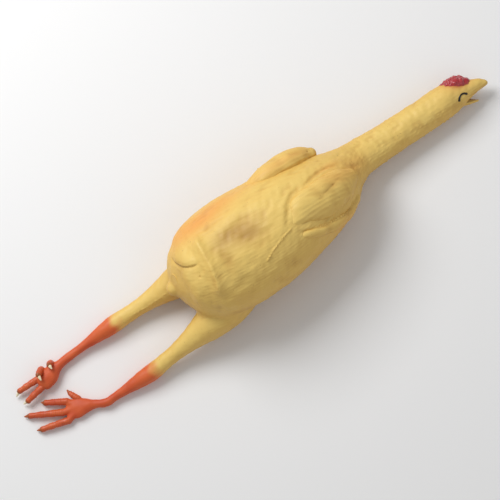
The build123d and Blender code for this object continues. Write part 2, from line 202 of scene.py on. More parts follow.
def smooth_rows(rows, step):
    """Rows read at even steps off a smooth curve through the given ones; columns 0 to 2 are the place."""
    rows = np.asarray(rows, float)
    at = np.concatenate(([0.0], np.cumsum(np.linalg.norm(np.diff(rows[:, :3], axis=0), axis=1))))
    slope = np.gradient(rows, at, axis=0)
    where = np.linspace(0, at[-1], max(3, int(at[-1] / step) + 1))
    index = np.clip(np.searchsorted(at, where, side="right") - 1, 0, len(at) - 2)
    span = (at[index + 1] - at[index])[:, None]
    t = ((where - at[index]) / span[:, 0])[:, None]
    ahead = (2 * t ** 3 - 3 * t ** 2 + 1) * rows[index] + (t ** 3 - 2 * t ** 2 + t) * slope[index] * span
    behind = (3 * t ** 2 - 2 * t ** 3) * rows[index + 1] + (t ** 3 - t ** 2) * slope[index + 1] * span
    return ahead + behind


def along(start, end, rows):
    """Round stations at (distance, radius) pairs past start on the way to end."""
    start, end = np.array(start), np.array(end)
    direction = unit(end - start)
    return [(*(start + direction * distance), radius, radius, 0.0) for distance, radius in rows]


# ------------------------------------------------------------------------------------------------ frames

def head_axes():
    """Rows: the head's x, y and z in the design's frame."""
    turn, lean = math.radians(HEAD_TURN), math.radians(HEAD_LEAN)
    forward = np.array((math.cos(turn), math.sin(turn), 0.0))
    crown = np.array((-math.sin(turn) * math.sin(lean), math.cos(turn) * math.sin(lean), math.cos(lean)))
    return np.array((forward, np.cross(crown, forward), crown))


def from_head(points):
    return HEAD_PIVOT + np.asarray(points, float) @ head_axes()


def to_head(points):
    return (np.asarray(points, float) - HEAD_PIVOT) @ head_axes().T


def trunk_at(x):
    """Centre, half width and half height of the trunk at x."""
    rows = np.array(TRUNK)
    return np.array([np.interp(x, rows[:, 0], rows[:, column]) for column in (0, 1, 2, 3, 4)])


def trunk_direction(side, angle):
    """Unit vector out of the trunk, at degrees from the middle of the back towards that side."""
    lean, angle = math.radians(LEAN), math.radians(angle)
    left, up = np.array((0, math.cos(lean), -math.sin(lean))), np.array((0, math.sin(lean), math.cos(lean)))
    return left * (SIDES[side] * math.sin(angle)) + up * math.cos(angle)


def trunk_surface(side, x, angle, depth):
    """A point that far under the trunk's surface."""
    _, y, z, half_width, half_height = trunk_at(x)
    turn = math.radians(angle)
    reach = 1 / math.hypot(math.sin(turn) / half_width, math.cos(turn) / half_height)
    return np.array((x, y, z)) + trunk_direction(side, angle) * (reach - depth)


# ------------------------------------------------------------------------------------------------ shapes

def tube(rows, step=1.2, ring=RING, blunt=1.0):
    """Vertices and faces of a closed tube through stations, with rounded ends."""
    rows = smooth_rows(rows, step)
    centres, lean = rows[:, :3], np.radians(rows[:, 5:6])
    forward = unit(np.gradient(centres, axis=0))
    up = np.hstack((np.zeros_like(lean), np.sin(lean), np.cos(lean)))
    across = unit(np.cross(up, forward))
    up = np.cross(forward, across)
    turns = np.linspace(0, 2 * math.pi, ring, endpoint=False)
    rings = []
    cap = [(-1, 0, math.radians(turn)) for turn in (75, 60, 45, 30, 15)]
    cap += [(0, index, 0.0) for index in range(len(rows))]
    cap += [(1, len(rows) - 1, math.radians(turn)) for turn in (15, 30, 45, 60, 75)]
    for end, index, turn in cap:
        width, height = rows[index, 3:5] * math.cos(turn)
        shift = forward[index] * (end * blunt * min(rows[index, 3:5]) * math.sin(turn))
        rings.append(centres[index] + shift + np.outer(np.cos(turns), across[index]) * width
                     + np.outer(np.sin(turns), up[index]) * height)
    poles = [centres[index] + forward[index] * (end * blunt * min(rows[index, 3:5]))
             for end, index in ((-1, 0), (1, -1))]
    points = np.vstack(rings + [poles])
    faces = []
    count = len(rings)
    for row in range(count - 1):
        for column in range(ring):
            after = (column + 1) % ring
            faces.append((row * ring + column, row * ring + after,
                          (row + 1) * ring + after, (row + 1) * ring + column))
    for column in range(ring):
        after = (column + 1) % ring
        faces.append((count * ring, after, column))
        faces.append((count * ring + 1, (count - 1) * ring + column, (count - 1) * ring + after))
    return points, faces


def mesh_of(name, points, faces):
    mesh = bpy.data.meshes.new(name)
    mesh.from_pydata([tuple(point) for point in points], [], [tuple(face) for face in faces])
    mesh.update()
    return mesh


def fused(tubes, voxel):
    """One closed skin round overlapping tubes."""
    points, faces, start = [], [], 0
    for tube_points, tube_faces in tubes:
        points.append(tube_points)
        faces += [tuple(corner + start for corner in face) for face in tube_faces]
        start += len(tube_points)
    rough = bpy.data.objects.new("rough", mesh_of("rough", np.vstack(points), faces))
    bpy.context.scene.collection.objects.link(rough)
    remesh = rough.modifiers.new("skin", "REMESH")
    remesh.mode = "VOXEL"
    remesh.voxel_size = voxel
    made = rough.evaluated_get(bpy.context.evaluated_depsgraph_get()).to_mesh()
    vertices = np.zeros(len(made.vertices) * 3)
    made.vertices.foreach_get("co", vertices)
    corners = np.zeros(len(made.loops), int)
    made.loops.foreach_get("vertex_index", corners)
    bpy.data.objects.remove(rough)
    return Skin(vertices.reshape(-1, 3), corners.reshape(-1, 4))


class Skin:
    """A closed mesh of quads in millimetres, kept as arrays while it is shaped."""

    def __init__(self, points, quads):
        self.points, self.quads = points, quads
        pairs = np.sort(np.vstack([quads[:, [a, b]] for a, b in ((0, 1), (1, 2), (2, 3), (3, 0))]), axis=1)
        self.edges = np.unique(pairs, axis=0)
        self.degree = np.bincount(self.edges.ravel(), minlength=len(points))
        self.groove = np.zeros(len(points))
        self.tree = None

    def average(self):
        """Mean place of each point's neighbours."""
        a, b = self.edges.T
        total = np.zeros_like(self.points)
        for axis in range(3):
            total[:, axis] = np.bincount(a, self.points[b, axis], len(self.points))
            total[:, axis] += np.bincount(b, self.points[a, axis], len(self.points))
        return total / self.degree[:, None]

    def smooth(self, passes, share=1.0):
        """Evens the surface out, where share is above 0."""
        share = np.broadcast_to(share, len(self.points))[:, None]
        for _ in range(passes):
            self.points = self.points + (self.average() - self.points) * share * 0.5

    def normals(self):
        corners = self.points[self.quads]
        areas = np.cross(corners[:, 2] - corners[:, 0], corners[:, 3] - corners[:, 1])
        total = np.zeros_like(self.points)
        for axis in range(3):
            for corner in range(4):
                total[:, axis] += np.bincount(self.quads[:, corner], areas[:, axis], len(self.points))
        return unit(total)

    def lift(self, amount, crease_shade=1.0):
        """Moves the surface out by an amount at each point, and remembers how far it goes in, times the
        given share, for the painted shade in the creases.
        """
        self.points = self.points + self.normals() * amount[:, None]
        self.groove = self.groove + crease_shade * np.minimum(amount, 0)

    def settle(self):
        """Gets ready for cast(), after the large shape is final."""
        self.tree = BVHTree.FromPolygons(self.points.tolist(), self.quads.tolist())

    def cast(self, origins, direction):
        """Where rays from the origins meet the surface, leaving out those that miss."""
        hits = [self.tree.ray_cast(Vector(origin), Vector(direction))[0] for origin in origins]
        return np.array([tuple(hit) for hit in hits if hit is not None])

    def under(self, line):
        """A smooth line through (x, y) pairs, dropped onto the surface from above."""
        flat = smooth_rows([(x, y, 0.0) for x, y in line], 0.7)
        return self.cast(flat + (0, 0, 200.0), (0, 0, -1))

    def near(self, line, reach):
        """For points within reach of a line on the surface: index, distance, share of the way, side."""
        low, high = line.min(0) - reach, line.max(0) + reach
        index = np.flatnonzero(((self.points > low) & (self.points < high)).all(1))
        offset = self.points[index][:, None, :] - line[None]
        gaps = np.linalg.norm(offset, axis=2)
        closest = gaps.argmin(1)
        forward = unit(np.gradient(line, axis=0))[closest]
        nearest = offset[np.arange(len(index)), closest]
        side = np.sign(forward[:, 0] * nearest[:, 1] - forward[:, 1] * nearest[:, 0])
        return index, gaps[np.arange(len(index)), closest], closest / (len(line) - 1), side

    def stroke(self, line, width, height, ends=0.2):
        """A ridge, or a crease if height is below 0, with a rounded section that fades at its ends."""
        amount = np.zeros(len(self.points))
        index, gap, share, _ = self.near(line, 4 * width)
        fade = ease(share / ends) * ease((1 - share) / ends)
        amount[index] = height * np.exp(-(gap / width) ** 2) * fade
        return amount

    def step(self, line, width, height, side, ends=0.25):
        """A fold: the surface rises by height just beyond the line on one side and eases back."""
        amount = np.zeros(len(self.points))
        index, gap, share, hand = self.near(line, 3 * width)
        fade = ease(share / ends) * ease((1 - share) / ends)
        signed = gap * hand * side
        amount[index] = height * fade * ease(signed / 1.2 + 0.5) * np.exp(-(gap / width) ** 2)
        return amount

    def seam(self, line, width, height, seed):
        """A beaded parting line: a thin ridge broken into drops of rubber."""
        amount = self.stroke(line, width, height, 0.05)
        beads = 0.55 + 0.75 * ripple(self.points, 2.6, seed)
        return amount * np.clip(beads, 0.1, 1.6)

    def dimple(self, centre, width, depth):
        """A shallow hollow, or a swelling if depth is below 0."""
        gap = np.linalg.norm((self.points - np.array(centre)) / np.array(width), axis=1)
        return -depth * np.exp(-gap ** 2)


# ------------------------------------------------------------------------------------------------ pieces

def write_layers(mesh, points, paint, groove):
    """Rest place, paint and crease depth of each vertex, for the materials; the crease depth drives painted
    shade.
    """
    rest = mesh.attributes.new("rest", "FLOAT_VECTOR", "POINT")
    rest.data.foreach_set("vector", np.ascontiguousarray(points, np.float32).ravel())
    colour = mesh.color_attributes.new("paint", "FLOAT_COLOR", "POINT")
    rgba = np.hstack((np.clip(paint, 0, 1), np.ones((len(points), 1)))).astype(np.float32)
    colour.data.foreach_set("color", rgba.ravel())
    depth = mesh.attributes.new("groove", "FLOAT", "POINT")
    depth.data.foreach_set("value", np.asarray(groove, np.float32))


def boundary_loops(quads):
    """Closed rings of vertices round the open edges of some faces, in the faces' own sense."""
    ahead = np.vstack([quads[:, [a, b]] for a, b in ((0, 1), (1, 2), (2, 3), (3, 0))])
    known = {tuple(pair) for pair in ahead.tolist()}
    follow = {}
    for a, b in known:
        if (b, a) not in known:
            follow.setdefault(a, []).append(b)
    loops = []
    while follow:
        first = next(iter(follow))
        loop = [first]
        while True:
            options = follow[loop[-1]]
            after = options.pop()
            if not options:
                del follow[loop[-1]]
            if after == first:
                break
            loop.append(after)
        loops.append(loop)
    return loops


def cut_piece(name, skin, chosen, normals, paint, material):
    """A closed piece from the chosen quads of a skin, with the whole skin's shading at its edges."""
    quads = skin.quads[chosen]
    used, quads = np.unique(quads, return_inverse=True)
    quads = quads.reshape(-1, 4)
    points, faces = skin.points[used], [tuple(quad) for quad in quads.tolist()]
    layers = [paint[used], skin.groove[used], normals[used]]
    for loop in boundary_loops(quads):
        middle = points[loop].mean(0)
        points = np.vstack((points, middle))
        layers = [np.concatenate((layer, layer[loop].mean(0, keepdims=True))) for layer in layers]
        hub = len(points) - 1
        faces += [(loop[(step + 1) % len(loop)], loop[step], hub) for step in range(len(loop))]
    mesh = mesh_of(name, metres(points), faces)
    write_layers(mesh, metres(points), layers[0], layers[1])
    mesh.shade_smooth()
    mesh.normals_split_custom_set_from_vertices(unit(layers[2]).tolist())
    return add(name, mesh, material)


def add(name, mesh, material):
    piece = bpy.data.objects.new(name, mesh)
    bpy.context.scene.collection.objects.link(piece)
    mesh.materials.append(material)
    return piece


def whole_piece(name, skin, paint, material):
    mesh = mesh_of(name, metres(skin.points), skin.quads.tolist())
    write_layers(mesh, metres(skin.points), paint, skin.groove)
    mesh.shade_smooth()
    return add(name, mesh, material)


def tube_piece(name, shape, paint, material, groove=None):
    points, faces = shape
    mesh = mesh_of(name, metres(points), faces)
    write_layers(mesh, metres(points), paint, np.zeros(len(points)) if groove is None else groove)
    mesh.shade_smooth()
    return add(name, mesh, material)


# --------------------------------------------------------------------------------------------- materials

def node(tree, kind, **values):
    made = tree.nodes.new(kind)
    for name, value in values.items():
        setattr(made, name, value)
    return made


def noise(tree, place, scale, detail=3.0, roughness=0.55):
    made = node(tree, "ShaderNodeTexNoise")
    made.inputs["Scale"].default_value = scale
    made.inputs["Detail"].default_value = detail
    made.inputs["Roughness"].default_value = roughness
    tree.links.new(place, made.inputs["Vector"])
    return made.outputs["Fac"]


def ramp(tree, value, low, high, from_value=0.0, to_value=1.0):
    made = node(tree, "ShaderNodeMapRange")
    limits = {"From Min": low, "From Max": high, "To Min": from_value, "To Max": to_value}
    for name, number in limits.items():
        made.inputs[name].default_value = number
    tree.links.new(value, made.inputs["Value"])
    return made.outputs["Result"]


def mixed(tree, share, first, second, how="MIX"):
    """Colour mix; share, first and second are sockets or constants."""
    made = node(tree, "ShaderNodeMix", data_type="RGBA", blend_type=how)
    for socket, value in ((made.inputs[0], share), (made.inputs[6], first), (made.inputs[7], second)):
        if isinstance(value, bpy.types.NodeSocket):
            tree.links.new(value, socket)
        else:
            socket.default_value = value
    return made.outputs[2]


def stretched(tree, place, scale, turn=0.0):
    made = node(tree, "ShaderNodeMapping")
    made.inputs["Scale"].default_value = scale
    made.inputs["Rotation"].default_value = (0, 0, math.radians(turn))
    tree.links.new(place, made.inputs["Vector"])
    return made.outputs["Vector"]


def painted(name, roughness=0.5, gloss=0.35, mottle=0.16, grain=0.3, lines=0.35, coat=0.0):
    """Painted latex: sprayed colour with mottling, painted shade in the creases, pores, specks and fine
    lines.
    """
    material = bpy.data.materials.new(name)
    material.use_nodes = True
    tree = material.node_tree
    shader = tree.nodes["Principled BSDF"]
    place = node(tree, "ShaderNodeAttribute", attribute_name="rest").outputs["Vector"]
    paint = node(tree, "ShaderNodeAttribute", attribute_name="paint").outputs["Color"]
    groove = node(tree, "ShaderNodeAttribute", attribute_name="groove").outputs["Fac"]
    cloud = ramp(tree, noise(tree, place, 38.0, 4.0), 0.32, 0.72)
    shade = mixed(tree, mottle, paint, (0.78, 0.55, 0.26, 1), "MULTIPLY")
    colour = mixed(tree, cloud, paint, shade)
    fine = ramp(tree, noise(tree, place, 260.0, 3.0), 0.3, 0.75)
    tint = mixed(tree, 0.5 * mottle, colour, (0.86, 0.66, 0.4, 1), "MULTIPLY")
    colour = mixed(tree, fine, colour, tint)
    # Painted shade: the colour darkens with the depth of the creases and dents.
    crease_shade = mixed(tree, 0.8, colour, (0.5, 0.3, 0.14, 1), "MULTIPLY")
    colour = mixed(tree, ramp(tree, groove, -0.1, -1.6), colour, crease_shade)
    speck = ramp(tree, noise(tree, place, 620.0, 1.0), 0.745, 0.79, 0.0, 0.55)
    colour = mixed(tree, speck, colour, (0.33, 0.18, 0.06, 1))
    tree.links.new(colour, shader.inputs["Base Color"])
    patch = ramp(tree, noise(tree, place, 90.0, 3.0), 0.3, 0.7, roughness - 0.07, roughness + 0.09)
    tree.links.new(patch, shader.inputs["Roughness"])
    shader.inputs["Specular IOR Level"].default_value = gloss
    shader.inputs["Coat Weight"].default_value = coat
    shader.inputs["Coat Roughness"].default_value = 0.16
    pores = noise(tree, place, 720.0, 2.0)
    along_skin = noise(tree, stretched(tree, place, (60.0, 420.0, 420.0), 8.0), 1.0, 2.0)
    previous = None
    for height, strength, distance in ((pores, grain, 0.00022), (along_skin, lines, 0.00035)):
        bump = node(tree, "ShaderNodeBump")
        bump.inputs["Strength"].default_value = strength
        bump.inputs["Distance"].default_value = distance
        tree.links.new(height, bump.inputs["Height"])
        if previous is not None:
            tree.links.new(previous.outputs["Normal"], bump.inputs["Normal"])
        previous = bump
    tree.links.new(previous.outputs["Normal"], shader.inputs["Normal"])
    return material


# ------------------------------------------------------------------------------------------------ paint

def blend_paint(paint, share, colour):
    """Sprays a colour over the paint where share is above 0."""
    return paint + (linear(colour) - paint) * np.clip(share, 0, 1)[:, None]


def spray(points, centre, size):
    """Soft round patch of spray, 1 in its middle."""
    return np.exp(-(np.linalg.norm((points - np.array(centre)) / np.array(size), axis=1)) ** 2)


BLUSHES = [
    ((-30.0, 36.0, 76.0), (26.0, 13.0, 18.0), 0.85), ((-52.0, 38.0, 62.0), (13.0, 12.0, 20.0), 0.55),
    ((-4.0, 40.0, 72.0), (22.0, 10.0, 18.0), 0.5), ((92.0, -2.0, 66.0), (24.0, 7.0, 16.0), 0.35),
    ((98.0, 12.0, 60.0), (16.0, 4.0, 12.0), 0.4), ((60.0, 40.0, 62.0), (42.0, 5.0, 18.0), 0.4),
    ((118.0, 4.0, 40.0), (16.0, 8.0, 16.0), 0.35), ((84.0, -38.0, 45.0), (16.0, 7.0, 14.0), 0.3),
]
# Patches of painted shade: the hollow of the back, a back crease and the crescent's valley, and a painted
# shadow under the rump where the legs leave it.
SHADE_PATCHES = [
    ((-14.0, 5.0, 92.0), (16.0, 8.0, 14.0), 0.4), ((4.0, -4.0, 91.0), (14.0, 8.0, 14.0), 0.42),
    ((-26.0, -10.0, 90.0), (7.0, 20.0, 20.0), 0.3), ((-64.0, 8.0, 76.0), (7.0, 16.0, 14.0), 0.3),
    ((-78.0, 4.0, 34.0), (12.0, 24.0, 22.0), 0.45),
]
ORANGE_STARTS = {"right": -140.0, "left": -149.0}


def skin_paint(points, normals):
    """Sprayed colour of the latex, from where it is on the bird, with painted light on faces turned up and
    painted shade on faces turned down, in hollows and under the rump.
    """
    paint = np.broadcast_to(linear(YELLOW), points.shape).copy()
    # Painted light on faces turned up and painted shade on faces turned down, both from the surface normal.
    paint = blend_paint(paint, 0.75 * ease((normals[:, 2] - 0.55) / 0.4), PAINTED_LIGHT)
    paint = blend_paint(paint, 0.65 * ease((0.45 - normals[:, 2]) / 1.0), PAINTED_SHADE)
    for centre, size, strength in BLUSHES:
        paint = blend_paint(paint, strength * spray(points, centre, size), BLUSH)
    # Sprays the patches of painted shade and shadow.
    for centre, size, strength in SHADE_PATCHES:
        paint = blend_paint(paint, strength * spray(points, centre, size), SHADE_BROWN)
    edge = 3.0 * ripple(points, 14.0, 5)
    for side, start in ORANGE_STARTS.items():
        mine = (points[:, 1] < LEG_SPLIT) == (side == "right")
        share = ease((start + 7 - points[:, 0] + edge) / 15)
        paint = blend_paint(paint, share * mine, ORANGE)
        deep = ease((start - 12 - points[:, 0]) / 22) * (0.45 + 0.25 * ripple(points, 18.0, 6))
        paint = blend_paint(paint, deep * mine, RED_ORANGE)
    local = to_head(points)
    gap = np.linalg.norm((local - np.array(COMB_MIDDLE)) / np.array((14.5, 10.5, 8.0)), axis=1)
    paint = blend_paint(paint, 0.9 * np.exp(-(np.maximum(gap - 0.75, 0) / 0.22) ** 2), CRIMSON)
    return blend_paint(paint, 0.35 * np.exp(-(gap / 1.35) ** 4), BLUSH)


# -------------------------------------------------------------------------------------------- body shape

def body_tubes():
    """The trunk with its neck and head, then the legs down to the pads of the feet."""
    head = [(*from_head((x, 0.0, z)), radius * HEAD_NARROW, radius, HEAD_LEAN) for x, z, radius in HEAD]
    tubes = [tube(TRUNK + head, blunt=0.9)]
    for side in SIDES:
        limb = along(HIP[side], KNEE[side], THIGH) + along(KNEE[side], ANKLE[side], SHANK)
        fleshy = [(x, y + LEG_SHIFT[side], z, width * LEG_GIRTH[side], height * LEG_GIRTH[side], lean)
                  for x, y, z, width, height, lean in limb]
        tubes.append(tube(fleshy + PADS[side], step=1.0))
        for toe, points in TOES[side].items():
            root = np.array(points[0])
            radius = (REAR_TOE_RADII if toe == "rear" else TOE_RADII)[0]
            web = [(*PALM[side], radius, radius, 0.0), (*root, radius - 0.1, radius - 0.1, 0.0)]
            tubes.append(tube(web, step=1.0))
    return tubes


RUMP_RIDGE = [(-37.0, 27.0), (-40.0, 14.0), (-41.0, 0.0), (-42.5, -14.0), (-46.0, -27.0), (-51.0, -38.0)]
CRESCENT = [(-68.0, 26.0), (-67.0, 16.0), (-63.0, 7.5), (-56.5, 2.5), (-48.0, 0.0)]
BACK_SEAM = [(39.0, -21.5), (33.0, -22.5), (27.5, -24.0), (20.0, -26.4), (14.1, -28.6), (2.3, -33.8)]
WING_TOP = [(64.0, 4.0), (72.0, 7.6), (83.0, 11.0), (92.0, 12.2), (99.0, 11.8), (106.0, 9.6), (113.0, 5.0)]
WING_UNDERSIDE = [(38.0, -25.0), (45.0, -29.5), (55.0, -34.0), (67.0, -35.5), (78.0, -35.0)]
WING_GROOVE = [(68.0, 7.5), (58.0, 6.5), (49.0, 0.5), (43.0, -7.5), (37.5, -15.0), (34.0, -21.5)]
BACK_FOLDS = [
    ([(20.0, 14.0), (8.0, 10.0), (-6.0, 8.0), (-18.0, 10.0)], 5.0, -0.8),
    ([(-26.0, 2.0), (-28.0, -12.0), (-31.0, -24.0), (-36.0, -34.0)], 3.6, -0.9),
    ([(-12.0, -34.0), (-26.0, -37.0), (-40.0, -40.0)], 5.0, -0.9),
    ([(60.0, 22.0), (44.0, 26.0), (28.0, 27.0), (12.0, 25.0)], 2.4, -0.35),
    ([(122.0, 22.0), (112.0, 18.0), (104.0, 17.0)], 2.0, -0.5),
    ([(128.0, 1.0), (120.0, 2.0), (114.0, 5.5)], 2.2, -0.7),
]


def shape_body(skin):
    """Large forms, folds, seams and wrinkles of the body's skin."""
    low = 1.5
    z = skin.points[:, 2]
    skin.points[:, 2] = np.where(z < low, low * np.exp((np.minimum(z, low) - low) / low), z)
    junction = np.zeros(len(skin.points))
    for side in SIDES:
        gap = np.linalg.norm(skin.points - (np.array(HIP[side]) + (-8.0, 0.0, 4.0)), axis=1)
        junction = np.maximum(junction, ease((44.0 - gap) / 18.0))
    skin.smooth(8)
    skin.smooth(70, junction)
    skin.settle()
    lines = {name: skin.under(line) for name, line in (
        ("ridge", RUMP_RIDGE), ("crescent", CRESCENT), ("seam", BACK_SEAM), ("groove", WING_GROOVE),
        ("top", WING_TOP), ("underside", WING_UNDERSIDE))}
    folds = [(skin.under(line), width, height) for line, width, height in BACK_FOLDS]
    thigh_seam = skin.under([(-84.0, 8.0), (-100.0, 8.6), (-118.0, 10.2), (-134.0, 12.0)])
    side_rays = [(x, -60.0, 15.0) for x in np.arange(146.0, 243.0, 0.7)]
    neck_seam = skin.cast(side_rays, (0, 1, 0))
    large = skin.stroke(lines["ridge"], 6.0, 3.4) + skin.stroke(lines["ridge"], 2.4, 0.9)
    large += skin.step(lines["crescent"], 9.0, 2.0, 1) + skin.stroke(lines["crescent"], 2.6, -1.0)
    beside = lines["groove"] - (5.0, 0, 0)
    large += skin.stroke(lines["groove"], 2.4, -0.8, 0.15) + skin.stroke(beside, 3.0, 0.8)
    large += skin.stroke(lines["top"], 1.5, -1.3, 0.3) + skin.stroke(lines["underside"], 2.4, -1.8, 0.3)
    large += skin.dimple((-2.0, 2.0, 92.0), (20.0, 13.0, 14.0), 2.4)
    large += skin.dimple((10.0, -8.0, 90.0), (10.0, 8.0, 12.0), 1.2)
    large += skin.dimple((-64.0, -14.0, 76.0), (7.0, 18.0, 14.0), -1.8)
    for line, width, height in folds:
        large += skin.stroke(line, width, height, 0.35)
    skin.lift(large, 0.3)
    seams = skin.seam(lines["seam"], 0.85, 1.1, 11) + skin.seam(neck_seam, 0.8, 0.6, 12)
    seams += skin.seam(thigh_seam, 0.7, 0.45, 13)
    seams += skin.dimple((-55.6, -10.2, 84.5), (0.9, 0.9, 3.0), 1.3)
    seams += skin.dimple((-53.8, -9.0, 84.5), (0.7, 0.7, 3.0), -0.6)
    local = to_head(skin.points)
    eye_gap = np.hypot(local[:, 0] - EYE_MIDDLE[0], (local[:, 2] - EYE_MIDDLE[1]) * 1.25)
    on_head = ease((local[:, 0] + 4) / 4)
    seams += 0.8 * np.exp(-(eye_gap / 4.6) ** 4) * on_head
    mouth = local[:, 2] + 3.6 + 0.1 * local[:, 0]
    seams -= 0.55 * np.exp(-(mouth / 0.7) ** 2) * ease((local[:, 0] - 15) / 5) * (local[:, 0] < 36)
    skin.lift(seams)
    skin.lift(skin_texture(skin.points))


def skin_texture(points):
    """Goose pimples, soft dents and lengthwise creases, in millimetres."""
    body = ease((points[:, 0] - RUMP_END) / 20)
    neck = ease((points[:, 0] - 112) / 20) * ease((232 - points[:, 0]) / 12)
    stretch = points * np.array((0.28, 1.0, 1.0))
    lines = 0.11 * ripple(stretch, 3.4, 21) * (0.4 + 0.6 * body)
    dents = 0.34 * ripple(points, 21.0, 22) * body + 0.12 * ripple(points, 9.0, 23)
    rings = 0.16 * ripple(points * np.array((1.0, 0.35, 0.35)), 4.4, 24) * neck
    pimple = ripple(points, 3.1, 25)
    pimples = 0.22 * ease((pimple - 0.55) / 0.5) * (0.35 * body + 0.75 * neck)
    return lines + dents + rings + pimples


def piece_labels(skin):
    """Which piece each quad of the body belongs to."""
    centres = skin.points[skin.quads].mean(1)
    x, y = centres[:, 0], centres[:, 1]
    labels = np.full(len(centres), "torso", dtype="U24")
    for cut, name in zip(NECK_CUTS, NECK_BODIES[1:]):
        labels[x > cut] = name
    for side in SIDES:
        hip, knee = np.array(HIP[side]), np.array(KNEE[side])
        direction = unit(knee - hip)
        reach = (centres - hip) @ direction
        axis = hip + (0.0, LEG_SHIFT[side], 0.0)
        off = np.linalg.norm(centres - axis - np.outer(reach, direction), axis=1)
        limb = np.array(THIGH)
        radius = np.interp(reach, limb[:, 0], limb[:, 1]) * LEG_GIRTH[side]
        mine = (y < LEG_SPLIT) == (side == "right")
        thigh = ((reach > 1.0) & (off < radius + 1.8) & (x < 0)) | ((x < RUMP_END) & mine)
        labels[thigh] = side + "_thigh"
        labels[thigh & (x < THIGH_CUT)] = side + "_shank"
        labels[thigh & (x < SHANK_CUT)] = side + "_foot"
    return labels


def bend(piece):
    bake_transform(piece)


def make_body(latex):
    """One continuous latex skin, divided where the frame bends."""
    skin = fused(body_tubes(), BODY_VOXEL)
    shape_body(skin)
    normals = skin.normals()
    paint = skin_paint(skin.points, normals)
    labels = piece_labels(skin)
    pieces = {}
    for label in sorted(set(labels)):
        pieces[label] = cut_piece(label + "_latex", skin, labels == label, normals, paint, latex)
    torso = pieces["torso"]
    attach(torso, "torso")
    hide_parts("torso_skin", "torso_foam")
    for parent, child, (start, end) in zip(NECK_BODIES, NECK_BODIES[1:], NECK_BENDS):
        bend(pieces[child])
        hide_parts(child + "_skin", child + "_foam")
    for side in SIDES:
        make_leg(side, pieces)
    return skin


def make_leg(side, pieces):
    thigh, shank, foot = (side + "_" + name for name in ("thigh", "shank", "foot"))
    bend(pieces[thigh])
    bend(pieces[shank])
    bend(pieces[foot])
    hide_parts(thigh + "_skin", thigh + "_foam")
    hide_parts(shank)
    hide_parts(foot + "_pad")


# ------------------------------------------------------------------------------------------------- wings

def wing_tubes(side):
    tubes = []
    for lobe in WING_LOBES[side]:
        rows = []
        for x, angle, depth, half_width, half_height in lobe:
            place = trunk_surface(side, x, angle, depth)
            rows.append((*place, half_width, half_height, LEAN + SIDES[side] * angle))
        tubes.append(tube(rows, step=1.0, blunt=0.9))
    return tubes


def make_wing(side, latex):
    """A folded wing in two lobes, with a seam along its lower edge."""
    skin = fused(wing_tubes(side), WING_VOXEL)
    skin.smooth(14)
    skin.settle()
    outward = trunk_direction(side, 60)
    rays = [trunk_surface(side, x, angle, 0) + outward * 60
            for x, angle in zip(np.arange(42.0, 110.0, 0.6), np.interp(
                np.arange(42.0, 110.0, 0.6), (42, 53, 71, 89, 108), (56, 60, 70, 82, 84)))]
    edge = skin.cast(rays, -outward)
    skin.lift(skin.seam(edge, 0.85, 1.5, 31) + skin.stroke(edge, 2.6, -1.0, 0.1), 0.6)
    valley = skin.cast([trunk_surface(side, x, 37 - 0.15 * (x - 80), 0) + trunk_direction(side, 37) * 60
                        for x in np.arange(72.0, 104.0, 0.6)], -trunk_direction(side, 37))
    skin.lift(skin.stroke(valley, 4.0, -0.9, 0.4) + skin.stroke(valley, 0.9, -0.3, 0.4), 0.5)
    pit = trunk_surface(side, 92, 37, -8)
    skin.lift(skin.dimple(pit, (0.9, 0.9, 4.0), 1.0))
    stretch = skin.points * np.array((0.22, 1.0, 1.0))
    skin.lift(0.16 * ripple(stretch, 3.0, 33) + 0.3 * ripple(skin.points, 17.0, 34))
    piece = whole_piece(side + "_wing_latex", skin, skin_paint(skin.points, skin.normals()), latex)
    bend(piece)
    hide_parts(side + "_wing_skin", side + "_wing_foam")


# ---------------------------------------------------------------------------------------------- head bits

def head_rows(rows):
    """Stations in the head's frame: x, z, half width, half height."""
    return [(*from_head((x, 0.0, z)), half_width, half_height, HEAD_LEAN)
            for x, z, half_width, half_height in rows]


def make_comb(crimson):
    lumps = [tube(head_rows(COMB), step=0.6)]
    for x, z, y in ((1.5, 12.2, -2.4), (6.5, 13.4, 1.6), (11.5, 12.8, -2.2), (16.0, 10.0, 1.4)):
        place = from_head((x, y, z))
        ahead = from_head((x + 3.0, y, z - 0.3))
        lumps.append(tube([(*place, 2.6, 2.2, HEAD_LEAN), (*ahead, 2.6, 2.2, HEAD_LEAN)], step=0.6, ring=24))
    skin = fused(lumps, 0.45)
    skin.smooth(10)
    skin.lift(0.45 * ripple(skin.points, 5.0, 41) + 0.2 * ripple(skin.points, 2.2, 42))
    local = to_head(skin.points)
    paint = np.broadcast_to(linear(CRIMSON), skin.points.shape).copy()
    paint = blend_paint(paint, 0.45 * ease(ripple(skin.points, 6.0, 43)), "#c4424a")
    paint = blend_paint(paint, 0.7 * ease((9.0 - np.hypot(local[:, 1] * 0.6, local[:, 2])) / 4), "#d08a5c")
    piece = whole_piece("comb_latex", skin, paint, crimson)
    start, end = NECK_BENDS[-1]
    y, z = trunk_at(start)[1:3]
    bend(piece)
    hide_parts("comb")


def make_jaw(latex):
    skin = fused([tube(head_rows(JAW), step=0.5, ring=32)], 0.4)
    skin.smooth(6)
    local = to_head(skin.points)
    trough = np.exp(-(local[:, 1] / 1.8) ** 2) * ease((local[:, 0] - 13) / 4)
    top = ease((local[:, 2] + 10.4 + 0.22 * (local[:, 0] - 8)) / 1.0)
    skin.lift(-0.8 * trough * top)
    skin.lift(0.06 * ripple(skin.points, 2.0, 51))
    paint = skin_paint(skin.points, skin.normals())
    # Painted shade on the top of the lower beak, inside the mouth under the upper beak.
    paint = blend_paint(paint, 0.6 * top * ease((local[:, 0] - 10) / 4), BROWN)
    piece = whole_piece("lower_beak_latex", skin, paint, latex)
    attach(piece, "lower_beak")
    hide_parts("lower_beak")


